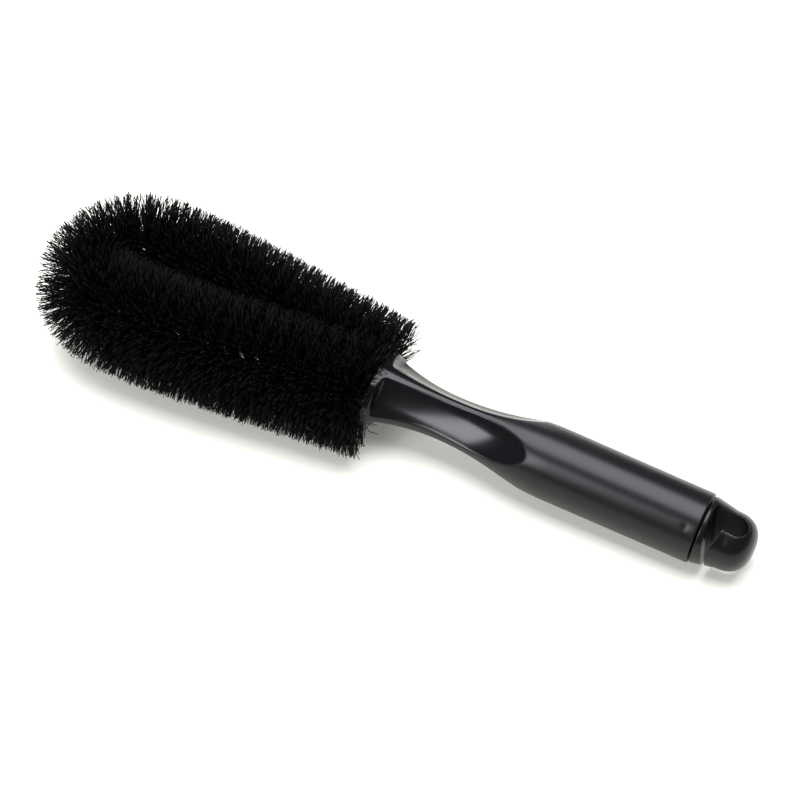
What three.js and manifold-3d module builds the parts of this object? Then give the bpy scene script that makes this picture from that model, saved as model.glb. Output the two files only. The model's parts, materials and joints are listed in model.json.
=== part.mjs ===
// A hand brush for cleaning car wheels.
//
// The head is a twisted-wire brush: two steel wires twisted round each other clamp a few thousand filaments,
// and the stem is then bent into a hairpin loop. The two ends of the loop are crimped in steel sleeves and held
// in the mouth of a moulded handle. The handle has a flared mouth, a waisted neck with four scooped troughs, and
// a hollow round grip. A hook cap snaps into the open end of the grip and can be turned in it.
//
// Everything is modelled in the brush's own frame, in millimetres: +X runs along the axis of the handle towards
// the hook cap, X = 0 is the face of the handle's mouth, and the loop lies in the XY plane. The brush is then
// set down as it lies on a table: on the end of the grip and on the filaments next to the handle, which the
// table presses flat.

import * as THREE from "three";
import { mergeVertices } from "three/addons/utils/BufferGeometryUtils.js";
import Module from "manifold-3d";

// Handle
const GRIP_END = 122.6; // the open end of the grip
const NECK_AT = 27; // the thinnest place of the neck
const GRIP_FROM = 68; // where the neck has widened to the grip
const NECK_HALF_WIDTH = 9.3;
const NECK_HALF_HEIGHT = 10.2;
const GRIP_RADIUS = 12.95; // where the grip begins
const GRIP_END_RADIUS = 12.55;
const MOUTH_HALF_WIDTH = 15.6;
const MOUTH_HALF_HEIGHT = 12;
const GRIP_EDGE = 0.5; // chamfer round the open end
const HANDLE_SIDES = 40;

// Troughs on the four diagonals of the neck
const TROUGH_FLOOR_AT = 30; // the deepest place
const TROUGH_FLOOR = 7.1; // distance of the floor from the axis there
const TROUGH_TIP = 60.4; // where a trough runs out into the grip
const TROUGH_RUN_OUT = 2.5; // power of the curve that brings the floor out there
const TROUGH_MOUTH_RISE = 2.7; // how much higher the floor is at the mouth end
const TROUGH_HOLLOW = 0.022; // the floor is a parabola across: rise per square millimetre
const TROUGH_WALL_FROM = 5.8; // the end wall next to the mouth
const TROUGH_WALL_LENGTH = 3;
const TROUGH_WALL_RISE = 4.5;
const TROUGH_WALL_POWER = 5; // a fillet at its foot, and steep above

// Hollow of the grip, and the cap's snap fit in it
const BORE_RADIUS = 9.8;
const BORE_FROM = 70;
const BORE_CONE = 7;
const BORE_SIDES = 28;
const SNAP_AT = GRIP_END - 10;
const SNAP_GROOVE_RADIUS = 10.35;
const SNAP_BEAD_RADIUS = 10.05;
const SNAP_HALF_WIDTH = 0.7;
const SNAP_SLOPE = 0.5;
const SNAP_PLAY = 0.25;

// Hook cap, with lengths counted from the grip's end
const CAP_GAP = 0.5;
const CAP_LENGTH = 18.9;
const CAP_RIM_RADIUS = 12.15;
const CAP_EDGE = 0.7; // chamfer round the rim
const CAP_SIDES = 36;
const CAP_TAPER = 0.2; // radius lost per millimetre
const NOSE_FROM = 9;
const NOSE_POWER = 2.5; // a superellipse a little blunter than a ball
const SPIGOT_RADIUS = 9.45;
const SPIGOT_WALL = 2;
const SPIGOT_LENGTH = 16;
const SPIGOT_LEAD = 0.9; // chamfer that leads it in
const SPIGOT_FLOOR = 1.5; // its hollow stops this far inside the grip

// Hook slot in the cap: a pocket along the axis, and a mouth to one side
const POCKET_HALF = 3.9;
const POCKET_MIDDLE = -0.1; // the pocket lies this far off the axis
const POCKET_END = 15;
const POCKET_BACK = 2.8;
const SLOT_CORNER = 1.6;
const HOOK_TIP_AT = 7.2;
const HOOK_SIDE_AT = 5.4; // the hook's side of the mouth
const HOOK_SIDE_FROM = 10;
const MOUTH_NEAR = 3.1; // the ring's side of the mouth
const OUTSIDE = 16; // clear of the cap's surface
const SLOT_HALF_DEPTH = 12.6; // clear of it above and below too
const SLOT_DRAFT = 0.12; // the ring's side of the slot leans towards the nose on the way down
const DRAFT_FROM = 6; // height at which that side has the lengths above
const SLOT_ARC_STEPS = 4;
const HANG_FLAT = 0.17; // half angle of the small flat in the round end, where a hook bears

// Stem: the hairpin path and its two wires
const STEM_END = 20; // how far the stem goes into the handle
const STEM_STRAIGHT_AT = 30; // where the two legs would run parallel
const STEM_HALF_GAP = 4.6; // half the distance between the legs there
const LOOP_HALF_WIDTH = 15.4;
const LOOP_CENTRE = -98.8; // centre of the round bend
const WIRE_RADIUS = 1;
const WIRE_OFFSET = 1.12; // from the stem's centreline, which leaves room for the filaments
const WIRE_SIDES = 6;
const WIRE_STEPS_PER_TURN = 9;

// Sleeves on the stem's ends, and their sockets in the handle
const SLEEVE_FROM = 3;
const SLEEVE_END = 19.5;
const SLEEVE_SIDES = 16;
const SLEEVE_BORE = 2.35;
const SLEEVE_RADIUS = 2.8;
const SOCKET_RADIUS = 3.15;
const SOCKET_END = 22;
const SOCKET_SIDES = 12;
const OVERCUT = 1; // how far a cutting tool starts outside the piece

// Filaments
const FILAMENT_LENGTH = 22; // from the stem's centreline to the trimmed tips
const STEM_TUNNEL = 2.5; // the room for the stem inside a bundle
const HEAD_FROM = -0.8; // where the filaments begin, next to the handle
const LEG_BUNDLES = 8;
const BEND_BUNDLES = 4;
const BUNDLE_SIDES = 20;
const BEND_STEPS = 3; // sections of one bundle of the bend
const HALF_GAP = 0.15; // every bundle stays this far inside its share of the space
const BEND_CORE = 1.6; // the bend's bundles stop this far from its centre

// How the brush lies
const TILT = THREE.MathUtils.degToRad(2.4);
const AXIS_HEIGHT = GRIP_END_RADIUS * Math.cos(TILT) + GRIP_END * Math.sin(TILT); // at X = 0

const wasm = await Module();
wasm.setup();

const plastic = new THREE.MeshStandardMaterial({ color: 0x17171a, roughness: 0.35, metalness: 0 });
const capPlastic = new THREE.MeshStandardMaterial({ color: 0x141417, roughness: 0.3, metalness: 0 });
const steel = new THREE.MeshStandardMaterial({ color: 0xa8abad, roughness: 0.35, metalness: 1 });
const filament = new THREE.MeshStandardMaterial({ color: 0x0b0b0c, roughness: 0.55, metalness: 0 });

const smoothstep = (t) => t * t * (3 - 2 * t);
const clamp01 = (t) => Math.min(1, Math.max(0, t));

/** A closed geometry as a manifold-3d solid. */
function toSolid(geometry) {
  const bare = geometry.index ? geometry.toNonIndexed() : geometry.clone();
  bare.deleteAttribute("normal");
  bare.deleteAttribute("uv");
  const merged = mergeVertices(bare, 1e-4);
  return new wasm.Manifold(
    new wasm.Mesh({
      numProp: 3,
      vertProperties: merged.getAttribute("position").array,
      triVerts: new Uint32Array(merged.index.array),
    }),
  );
}

/** A manifold-3d solid as a geometry. */
function toGeometry(solid) {
  const { vertProperties, triVerts } = solid.getMesh();
  const geometry = new THREE.BufferGeometry();
  geometry.setAttribute("position", new THREE.BufferAttribute(new Float32Array(vertProperties), 3));
  geometry.setIndex(new THREE.BufferAttribute(new Uint32Array(triVerts), 1));
  const flat = geometry.toNonIndexed();
  flat.computeVertexNormals();
  return flat;
}

/** Triangles between rings of points. Each ring closes on itself; wrap joins the last ring to the first. */
function ringTriangles(ringCount, sides, wrap) {
  const triangles = [];
  const bands = wrap ? ringCount : ringCount - 1;
  for (let i = 0; i < bands; i++) {
    for (let j = 0; j < sides; j++) {
      const a = i * sides + j;
      const b = i * sides + ((j + 1) % sides);
      const c = ((i + 1) % ringCount) * sides + j;
      const d = ((i + 1) % ringCount) * sides + ((j + 1) % sides);
      triangles.push(a, b, d, a, d, c);
    }
  }
  return triangles;
}

/** Six times the volume that the triangles enclose: below zero when they face inwards. */
function enclosed(points, triangles) {
  let sum = 0;
  for (let i = 0; i < triangles.length; i += 3) {
    const [a, b, c] = triangles.slice(i, i + 3).map((k) => points[k]);
    sum += a.dot(b.clone().cross(c));
  }
  return sum;
}

/** A closed geometry from points and triangles, turned to face outwards. */
function fromPoints(points, triangles) {
  const geometry = new THREE.BufferGeometry().setFromPoints(points);
  geometry.setIndex(enclosed(points, triangles) < 0 ? triangles.toReversed() : triangles);
  const flat = geometry.toNonIndexed();
  flat.computeVertexNormals();
  return flat;
}

/** A solid of revolution about X, from [x, radius] points that run along +X and start and end on the axis. */
function revolved(profile, segments) {
  const points = profile.map(([x, radius]) => new THREE.Vector2(radius, x));
  return new THREE.LatheGeometry(points, segments).rotateZ(-Math.PI / 2);
}

// ---------------------------------------------------------------- handle

/** Half width and half height of the uncut handle at x: a parabola to the mouth, a smooth step to the grip. */
function handleHalves(x) {
  const flare = Math.max(0, 1 - x / NECK_AT) ** 2;
  const widened = smoothstep(clamp01((x - NECK_AT) / (GRIP_FROM - NECK_AT)));
  const taper = (GRIP_RADIUS - GRIP_END_RADIUS) * clamp01((x - GRIP_FROM) / (GRIP_END - GRIP_FROM));
  const half = (neck, mouth) => neck + (mouth - neck) * flare + (GRIP_RADIUS - neck) * widened - taper;
  return [half(NECK_HALF_WIDTH, MOUTH_HALF_WIDTH), half(NECK_HALF_HEIGHT, MOUTH_HALF_HEIGHT)];
}

/** Distance of a trough's floor from the axis at x. */
function troughFloor(x) {
  if (x > TROUGH_FLOOR_AT) {
    const along = (x - TROUGH_FLOOR_AT) / (TROUGH_TIP - TROUGH_FLOOR_AT);
    return TROUGH_FLOOR + (handleHalves(TROUGH_TIP)[0] - TROUGH_FLOOR) * along ** TROUGH_RUN_OUT;
  }
  const back = (TROUGH_FLOOR_AT - x) / TROUGH_FLOOR_AT;
  const wall = Math.max(0, (TROUGH_WALL_FROM - x) / TROUGH_WALL_LENGTH);
  return TROUGH_FLOOR + TROUGH_MOUTH_RISE * back ** 2 + TROUGH_WALL_RISE * wall ** TROUGH_WALL_POWER;
}

/** Radius of the handle's surface at x and at an angle round the axis. */
function handleRadius(x, angle) {
  const [halfWidth, halfHeight] = handleHalves(x);
  const uncut = 1 / Math.hypot(Math.cos(angle) / halfWidth, Math.sin(angle) / halfHeight);
  const quarter = Math.PI / 2;
  const off = (((angle % quarter) + quarter) % quarter) - quarter / 2; // from the nearest diagonal
  const floor = troughFloor(x);
  const hollow = TROUGH_HOLLOW * Math.sin(off) ** 2;
  const inside = Math.cos(off) ** 2 - 4 * hollow * floor;
  if (inside < 0) return uncut;
  // the radius r at which r cos(off) = floor + hollow r^2
  const cut = (2 * floor) / (Math.cos(off) + Math.sqrt(inside));
  return Math.min(uncut, cut);
}

/** Evenly spaced numbers from a to b, without b. */
function spaced(a, b, count) {
  return Array.from({ length: count }, (_, i) => a + ((b - a) * i) / count);
}

/** Where the handle's sections are: close together at the ends of the troughs. */
function handleStations() {
  const wallEnd = TROUGH_WALL_FROM + 1;
  const runOut = TROUGH_TIP - 16;
  return [
    ...spaced(0, wallEnd, 10),
    ...spaced(wallEnd, runOut, 11),
    ...spaced(runOut, TROUGH_TIP + 2, 9),
    ...spaced(TROUGH_TIP + 2, GRIP_FROM + 6, 3),
    GRIP_FROM + 6,
    GRIP_END - GRIP_EDGE,
  ];
}

/** The handle before it is bored: sections round the axis, closed by a fan at each end. */
function solidHandle() {
  const angles = spaced(0, 2 * Math.PI, HANDLE_SIDES);
  const ring = (x, radiusAt) =>
    angles.map((angle) => {
      const radius = radiusAt(angle);
      return new THREE.Vector3(x, radius * Math.cos(angle), radius * Math.sin(angle));
    });
  const rings = handleStations().map((x) => ring(x, (angle) => handleRadius(x, angle)));
  rings.push(ring(GRIP_END, () => GRIP_END_RADIUS - GRIP_EDGE));
  const points = rings.flat();
  const last = points.length - HANDLE_SIDES;
  const triangles = ringTriangles(rings.length, HANDLE_SIDES, false);
  const front = points.push(new THREE.Vector3(0, 0, 0)) - 1;
  const back = points.push(new THREE.Vector3(GRIP_END, 0, 0)) - 1;
  for (let j = 0; j < HANDLE_SIDES; j++) {
    const next = (j + 1) % HANDLE_SIDES;
    triangles.push(front, next, j);
    triangles.push(back, last + j, last + next);
  }
  return fromPoints(points, triangles);
}

/** The hollow of the grip, with the groove that the cap's bead snaps into. */
function gripBore() {
  const groove = SNAP_HALF_WIDTH + SNAP_PLAY;
  return revolved(
    [
      [BORE_FROM, 0],
      [BORE_FROM, BORE_RADIUS / 2],
      [BORE_FROM + BORE_CONE, BORE_RADIUS],
      [SNAP_AT - groove - SNAP_SLOPE, BORE_RADIUS],
      [SNAP_AT - groove, SNAP_GROOVE_RADIUS],
      [SNAP_AT + groove, SNAP_GROOVE_RADIUS],
      [SNAP_AT + groove + SNAP_SLOPE, BORE_RADIUS],
      [GRIP_END + OVERCUT, BORE_RADIUS],
      [GRIP_END + OVERCUT, 0],
    ],
    BORE_SIDES,
  );
}

function handleBody() {
  let solid = toSolid(solidHandle()).subtract(toSolid(gripBore()));
  for (const side of [1, -1]) {
    const socket = alongLeg(-OVERCUT, SOCKET_END, disc(SOCKET_RADIUS, SOCKET_SIDES), side, 5);
    solid = solid.subtract(toSolid(socket));
  }
  return toGeometry(solid);
}

// ---------------------------------------------------------------- stem

/** Distance of the stem's leg from the middle plane at x: a cosine step from the handle to the bend. */
function legOffset(x) {
  const along = clamp01((STEM_STRAIGHT_AT - x) / (STEM_STRAIGHT_AT - LOOP_CENTRE));
  return STEM_HALF_GAP + ((LOOP_HALF_WIDTH - STEM_HALF_GAP) * (1 - Math.cos(Math.PI * along))) / 2;
}

/** One leg of the stem, from one x to another, on the side +1 or -1. */
class LegCurve extends THREE.Curve {
  constructor(from, to, side) {
    super();
    Object.assign(this, { from, to, side });
  }

  getPoint(t, target = new THREE.Vector3()) {
    const x = THREE.MathUtils.lerp(this.from, this.to, t);
    return target.set(x, this.side * legOffset(x), 0);
  }
}

/** The stem's centreline: in along the +Y leg, round the bend, and back along the -Y leg. */
class HairpinCurve extends THREE.Curve {
  constructor(end) {
    super();
    this.end = end;
    this.leg = end - LOOP_CENTRE;
    this.bend = Math.PI * LOOP_HALF_WIDTH;
    this.reach = 2 * this.leg + this.bend;
  }

  getPoint(t, target = new THREE.Vector3()) {
    const way = t * this.reach;
    if (way < this.leg) return target.set(this.end - way, legOffset(this.end - way), 0);
    if (way > this.leg + this.bend) {
      const x = LOOP_CENTRE + way - this.leg - this.bend;
      return target.set(x, -legOffset(x), 0);
    }
    const angle = (way - this.leg) / LOOP_HALF_WIDTH;
    return target.set(
      LOOP_CENTRE - LOOP_HALF_WIDTH * Math.sin(angle),
      LOOP_HALF_WIDTH * Math.cos(angle),
      0,
    );
  }
}

/** One of the two wires: a helix round the hairpin, one turn for each bundle of filaments. */
class TwistedWire extends THREE.Curve {
  constructor(path, turns, phase) {
    super();
    Object.assign(this, { path, turns, phase });
  }

  getPoint(t, target = new THREE.Vector3()) {
    const tangent = this.path.getTangent(t);
    const across = new THREE.Vector3(-tangent.y, tangent.x, 0);
    const angle = this.phase + 2 * Math.PI * this.turns * t;
    this.path.getPoint(t, target);
    target.addScaledVector(across, WIRE_OFFSET * Math.cos(angle));
    target.z += WIRE_OFFSET * Math.sin(angle);
    return target;
  }
}

/** A round outline as a shape with straight sides. */
function disc(radius, sides) {
  const corners = spaced(0, 2 * Math.PI, sides).map(
    (angle) => new THREE.Vector2(radius * Math.cos(angle), radius * Math.sin(angle)),
  );
  return new THREE.Shape(corners);
}

/** A shape carried along a leg of the stem. */
function alongLeg(from, to, shape, side, steps) {
  return new THREE.ExtrudeGeometry(shape, { steps, extrudePath: new LegCurve(from, to, side) });
}

function sleeve(side) {
  const ring = disc(SLEEVE_RADIUS, SLEEVE_SIDES);
  ring.holes.push(new THREE.Path(disc(SLEEVE_BORE, SLEEVE_SIDES).getPoints().reverse()));
  return alongLeg(SLEEVE_FROM, SLEEVE_END, ring, side, 4);
}

const bundlePitch = (HEAD_FROM - LOOP_CENTRE) / LEG_BUNDLES;

function stemWire(phase) {
  const path = new HairpinCurve(STEM_END);
  const turns = path.reach / bundlePitch;
  return new THREE.ExtrudeGeometry(disc(WIRE_RADIUS, WIRE_SIDES), {
    steps: Math.round(turns * WIRE_STEPS_PER_TURN),
    extrudePath: new TwistedWire(path, turns, phase),
  });
}

// ---------------------------------------------------------------- filaments

/** Lowest z that a filament can reach at x: the table, seen in the brush's own frame. */
const tableAt = (x) => x * Math.tan(TILT) - AXIS_HEIGHT / Math.cos(TILT);

/** A closed ring-shaped solid from sections, each a list of outer points and a list of inner points. */
function sleeveOf(sections) {
  const sides = sections[0].outer.length;
  const rings = [...sections.map((s) => s.outer), ...sections.map((s) => s.inner).reverse()];
  return fromPoints(rings.flat(), ringTriangles(rings.length, sides, true));
}

/** The outer and inner points of a bundle's section: circles round the stem, kept to their own side. */
function bundleSection(centre, across, keep) {
  const at = (radius, angle) =>
    centre
      .clone()
      .addScaledVector(across, radius * Math.cos(angle))
      .add(new THREE.Vector3(0, 0, radius * Math.sin(angle)));
  const angles = spaced(0, 2 * Math.PI, BUNDLE_SIDES);
  const outer = angles.map((angle) => {
    const point = keep(at(FILAMENT_LENGTH, angle));
    point.z = Math.max(point.z, tableAt(point.x));
    return point;
  });
  return { outer, inner: angles.map((angle) => at(STEM_TUNNEL, angle)) };
}

/** The filaments clamped in one turn of a leg, between two places along X. */
function legBundle(side, from, to) {
  const keep = (point) => {
    point.y = side * Math.max(side * point.y, HALF_GAP);
    return point;
  };
  const sections = [from - HALF_GAP, to + HALF_GAP].map((x) =>
    bundleSection(new THREE.Vector3(x, side * legOffset(x), 0), new THREE.Vector3(0, 1, 0), keep),
  );
  return sleeveOf(sections);
}

/** The filaments clamped in one turn of the bend, between two angles about its centre. */
function bendBundle(from, to) {
  const sections = [];
  for (let i = 0; i <= BEND_STEPS; i++) {
    const angle = from + ((to - from) * i) / BEND_STEPS;
    const radial = new THREE.Vector3(-Math.sin(angle), Math.cos(angle), 0);
    const forward = new THREE.Vector3(-Math.cos(angle), -Math.sin(angle), 0);
    const inset = i === 0 ? HALF_GAP : i === BEND_STEPS ? -HALF_GAP : 0;
    const middle = new THREE.Vector3(LOOP_CENTRE, 0, 0).addScaledVector(forward, inset);
    const keep = (point) => {
      const out = point.clone().sub(middle).dot(radial);
      return point.addScaledVector(radial, Math.max(0, BEND_CORE - out));
    };
    sections.push(bundleSection(middle.clone().addScaledVector(radial, LOOP_HALF_WIDTH), radial, keep));
  }
  return sleeveOf(sections);
}

// ---------------------------------------------------------------- hook cap

/** Radius of the cap at a distance from the grip's end. */
function capRadius(way) {
  const straight = CAP_RIM_RADIUS - CAP_TAPER * Math.min(way, NOSE_FROM);
  const share = clamp01((way - NOSE_FROM) / (CAP_LENGTH - NOSE_FROM));
  return straight * (1 - share ** NOSE_POWER) ** (1 / NOSE_POWER);
}

/** The hook slot's outline, seen from above: pocket, round end, hook tip, and the mouth to the -Y side. */
function slotOutline() {
  const roundEnd = POCKET_END - POCKET_HALF;
  const top = POCKET_MIDDLE + POCKET_HALF;
  const corner = [POCKET_BACK + SLOT_CORNER, top - SLOT_CORNER];
  const outline = new THREE.Shape();
  outline.moveTo(corner[0], top);
  outline.lineTo(roundEnd, top);
  outline.absarc(roundEnd, POCKET_MIDDLE, POCKET_HALF, Math.PI / 2, HANG_FLAT, true);
  outline.absarc(roundEnd, POCKET_MIDDLE, POCKET_HALF, -HANG_FLAT, -Math.PI / 2, true);
  outline.lineTo(HOOK_TIP_AT, POCKET_MIDDLE - POCKET_HALF);
  outline.lineTo(HOOK_SIDE_AT, -HOOK_SIDE_FROM);
  outline.lineTo(HOOK_SIDE_AT, -OUTSIDE);
  outline.lineTo(MOUTH_NEAR, -OUTSIDE);
  outline.lineTo(POCKET_BACK, 0);
  outline.lineTo(POCKET_BACK, corner[1]);
  outline.absarc(...corner, SLOT_CORNER, Math.PI, Math.PI / 2, true);
  return outline;
}

/** The slot as a solid to cut away, with the draft on its ring side. */
function slotTool() {
  const slot = new THREE.ExtrudeGeometry(slotOutline(), {
    depth: 2 * SLOT_HALF_DEPTH,
    bevelEnabled: false,
    curveSegments: SLOT_ARC_STEPS,
  });
  slot.translate(0, 0, -SLOT_HALF_DEPTH);
  const points = slot.getAttribute("position");
  for (let index = 0; index < points.count; index += 1) {
    const way = points.getX(index);
    if (way < POCKET_BACK + SLOT_CORNER + 0.5 * OVERCUT) {
      points.setX(index, way + SLOT_DRAFT * (DRAFT_FROM - points.getZ(index)));
    }
  }
  return slot.translate(GRIP_END, 0, 0);
}

/** The cap with its spigot, before the hollow and the slot are cut. */
function solidCap() {
  const spigotEnd = GRIP_END - SPIGOT_LENGTH;
  const turns = spaced(0, Math.PI / 2, 8);
  const nose = turns.map((turn) => NOSE_FROM + (CAP_LENGTH - NOSE_FROM) * Math.sin(turn));
  return revolved(
    [
      [spigotEnd, 0],
      [spigotEnd, SPIGOT_RADIUS - SPIGOT_LEAD],
      [spigotEnd + SPIGOT_LEAD, SPIGOT_RADIUS],
      [SNAP_AT - SNAP_HALF_WIDTH - SNAP_SLOPE, SPIGOT_RADIUS],
      [SNAP_AT - SNAP_HALF_WIDTH, SNAP_BEAD_RADIUS],
      [SNAP_AT + SNAP_HALF_WIDTH, SNAP_BEAD_RADIUS],
      [SNAP_AT + SNAP_HALF_WIDTH + SNAP_SLOPE, SPIGOT_RADIUS],
      [GRIP_END + CAP_GAP, SPIGOT_RADIUS],
      [GRIP_END + CAP_GAP, CAP_RIM_RADIUS - CAP_EDGE],
      ...[CAP_GAP + CAP_EDGE, ...nose].map((way) => [GRIP_END + way, capRadius(way)]),
      [GRIP_END + CAP_LENGTH, 0],
    ],
    CAP_SIDES,
  );
}

function hookCap() {
  const hollow = revolved(
    [
      [GRIP_END - SPIGOT_LENGTH - OVERCUT, 0],
      [GRIP_END - SPIGOT_LENGTH - OVERCUT, SPIGOT_RADIUS - SPIGOT_WALL],
      [GRIP_END - SPIGOT_FLOOR, SPIGOT_RADIUS - SPIGOT_WALL],
      [GRIP_END - SPIGOT_FLOOR, 0],
    ],
    BORE_SIDES,
  );
  return toGeometry(toSolid(solidCap()).subtract(toSolid(hollow)).subtract(toSolid(slotTool())));
}

// ---------------------------------------------------------------- assembly

const brush = new THREE.Group();

function add(name, geometry, material) {
  const mesh = new THREE.Mesh(geometry, material);
  mesh.name = name;
  brush.add(mesh);
}

add("handle_body", handleBody(), plastic);
add("hook_cap", hookCap(), capPlastic);
add("stem_wire_a", stemWire(0), steel);
add("stem_wire_b", stemWire(Math.PI), steel);
add("stem_sleeve_far", sleeve(1), steel);
add("stem_sleeve_near", sleeve(-1), steel);

for (let i = 0; i < LEG_BUNDLES; i++) {
  const from = HEAD_FROM - i * bundlePitch;
  add(`far_bundle_${i + 1}`, legBundle(1, from, from - bundlePitch), filament);
  add(`near_bundle_${i + 1}`, legBundle(-1, from, from - bundlePitch), filament);
}
for (let i = 0; i < BEND_BUNDLES; i++) {
  const step = Math.PI / BEND_BUNDLES;
  add(`bend_bundle_${i + 1}`, bendBundle(i * step, (i + 1) * step), filament);
}

// Set down on the table, with the origin under the middle of the brush.
brush.rotation.y = TILT;
const part = new THREE.Group();
part.add(brush);
const box = new THREE.Box3().setFromObject(part, true);
brush.position.set(-(box.min.x + box.max.x) / 2, -(box.min.y + box.max.y) / 2, -box.min.z);

export default part;
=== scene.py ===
import json
import math

import bpy
import numpy as np
from mathutils import Matrix, Vector


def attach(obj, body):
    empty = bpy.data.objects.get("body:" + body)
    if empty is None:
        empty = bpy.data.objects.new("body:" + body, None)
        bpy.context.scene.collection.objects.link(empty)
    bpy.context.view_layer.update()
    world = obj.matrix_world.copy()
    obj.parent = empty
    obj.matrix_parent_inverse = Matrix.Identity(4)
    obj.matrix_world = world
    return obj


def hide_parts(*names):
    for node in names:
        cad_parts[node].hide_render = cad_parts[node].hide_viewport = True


# The looks of a wheel brush. Shapes are worked out in millimetres in the brush's own frame, as in the CAD
# model: +X runs along the handle's axis towards the hook cap, X = 0 is the face of the handle's mouth, and
# the wire loop lies in the XY plane. The frame's one joint says where that is: it turns the hook cap about
# the handle's axis, at the open end of the grip.

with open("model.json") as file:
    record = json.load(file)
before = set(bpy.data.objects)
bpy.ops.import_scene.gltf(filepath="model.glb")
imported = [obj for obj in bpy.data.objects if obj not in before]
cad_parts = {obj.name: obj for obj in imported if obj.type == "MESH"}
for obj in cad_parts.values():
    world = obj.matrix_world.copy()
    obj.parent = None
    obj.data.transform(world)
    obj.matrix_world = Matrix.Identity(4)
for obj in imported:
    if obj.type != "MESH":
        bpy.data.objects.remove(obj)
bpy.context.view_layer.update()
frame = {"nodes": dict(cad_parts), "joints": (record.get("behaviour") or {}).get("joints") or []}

MM = 0.001

# Handle
NECK_AT = 27.0  # its narrowest place
GRIP_FROM, GRIP_END = 68.0, 122.6
NECK_HALF_WIDTH, NECK_HALF_HEIGHT = 9.3, 10.2
MOUTH_HALF_WIDTH, MOUTH_HALF_HEIGHT = 15.6, 12.0
GRIP_RADIUS, GRIP_END_RADIUS = 12.95, 12.55
MOUTH_ROUND, GRIP_ROUND = 0.9, 0.45  # radii of the rounded edges
BORE_RADIUS, BORE_CHAMFER = 9.8, 0.4
BORE_FROM, BORE_CONE = 70.0, 7.0  # the bore's bottom, and the length of the cone there

# Troughs of the neck. A floor is the distance from the handle's axis to the bottom of a trough.
TROUGH_FLOOR_AT, TROUGH_FLOOR = 30.0, 7.1  # where a floor is deepest
TROUGH_TIP = 60.4
TROUGH_RUN_OUT = 2.5  # power of the rise to the tip
TROUGH_MOUTH_RISE = 2.7
TROUGH_HOLLOW = 0.022  # a floor rises by this times the square of the way across
TROUGH_WALL_FROM, TROUGH_WALL_LENGTH = 5.8, 3.0  # the steep end at the mouth
TROUGH_WALL_RISE, TROUGH_WALL_POWER = 4.5, 5
TROUGH_EDGE = 0.3  # how far the edges of the troughs are rounded
CUTS_NOTHING = 5.0  # added to the uncut radius where the parabola isn't met

# Sink mark in the grip: a shallow dimple
SINK_AT, SINK_ANGLE = 118.6, math.radians(134)  # from +Y over the top
SINK_DEPTH = 0.14
SINK_LENGTH, SINK_TURN = 1.2, 0.1  # half its length, and half its width in radians

# Where the handle's mould is polished
POLISH_DEPTH = 0.4  # depth of a trough from which it is fully polished
NECK_POLISH_TO, NECK_POLISH_FADE = 52.0, 14.0

# Rows and columns of the handle's grid
HANDLE_COLUMNS = 256
ROUND_ROWS = 7
FINE_ROW = 0.4  # between rows at the neck and round the sink mark
FIRST_FINE_ROW = 0.35
NECK_ROWS_PAST_TIP, GRIP_ROWS_PAST_TIP = 4, 5  # ways past the trough's tip
GRIP_ROWS, GRIP_ROWS_TO = 32, 113.0
LAST_ROW_GAP = 0.5  # least way from the last of the fine rows to the rounded edge
BORE_ROW = 20.0  # one row in the bore, counted from the grip's end

# Hook cap, with lengths counted from the grip's end
CAP_GAP = 0.5
CAP_LENGTH = 18.9
CAP_RIM_RADIUS = 12.15
CAP_RIM_CHAMFER = 0.4
CAP_TAPER = 0.2  # of the radius, for each millimetre of length
NOSE_FROM, NOSE_POWER = 9.0, 2.5
SPIGOT_RADIUS, SPIGOT_WALL = 9.45, 2.0
SPIGOT_LENGTH, SPIGOT_FLOOR = 16.0, 1.5
SPIGOT_CHAMFER = 0.5
PROFILE_END = 0.2  # radius at which a turned profile starts and ends
CAP_COLUMNS = 144
STRAIGHT_FROM, STRAIGHT_TO = 1.7, 8.5  # first and last row of the straight part
STRAIGHT_ROWS, NOSE_ROWS = 12, 40
CAP_VOXEL = 0.24  # the remesh's grain
CAP_RELAX, CAP_RELAX_STEPS = 0.5, 11

# Slot in the hook cap, with lengths counted from the grip's end: a pocket for the hook, whose near side leans
# in towards the bottom, and a mouth to the -Y side
POCKET_HALF, POCKET_MIDDLE = 3.9, -0.1
POCKET_BACK, POCKET_END = 2.8, 15.0
POCKET_CORNER = 1.6
HOOK_TIP_AT = 7.2
HOOK_SIDE_AT, HOOK_SIDE_FROM = 5.4, 10.0  # the side of the mouth towards the nose
SLOT_MOUTH_BACK = 3.1
OUTSIDE_CAP = 16.0  # far enough to the side to be outside the cap
SLOT_HALF_DEPTH = 12.6
SLOT_DRAFT, DRAFT_FROM = 0.12, 6.0  # slope of the near side, and the height at which it isn't moved
END_STEPS, CORNER_STEPS = 40, 16  # points of the round end and of the pocket's corner

# Where the cap's mould is polished
CAP_POLISH_FROM, CAP_POLISH_FADE = 0.9, 0.06  # in shares of the cap's own size
MOUTH_POLISH_FROM, MOUTH_POLISH_FADE = 5.0, 2.0

# Stem: the hairpin path and its two wires
STEM_END = 20.0
STEM_STRAIGHT_AT = 30.0
STEM_HALF_GAP = 4.6  # between the legs, in the handle
LOOP_HALF_WIDTH, LOOP_CENTRE = 15.4, -98.8
WIRE_RADIUS, WIRE_OFFSET = 1.0, 1.12
WIRE_ROWS, WIRE_COLUMNS = 620, 12
SLOPE_STEP = 0.01
LEG = STEM_END - LOOP_CENTRE  # lengths along the stem: a leg, the bend and the whole
BEND = math.pi * LOOP_HALF_WIDTH
STEM_LENGTH = 2 * LEG + BEND

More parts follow.
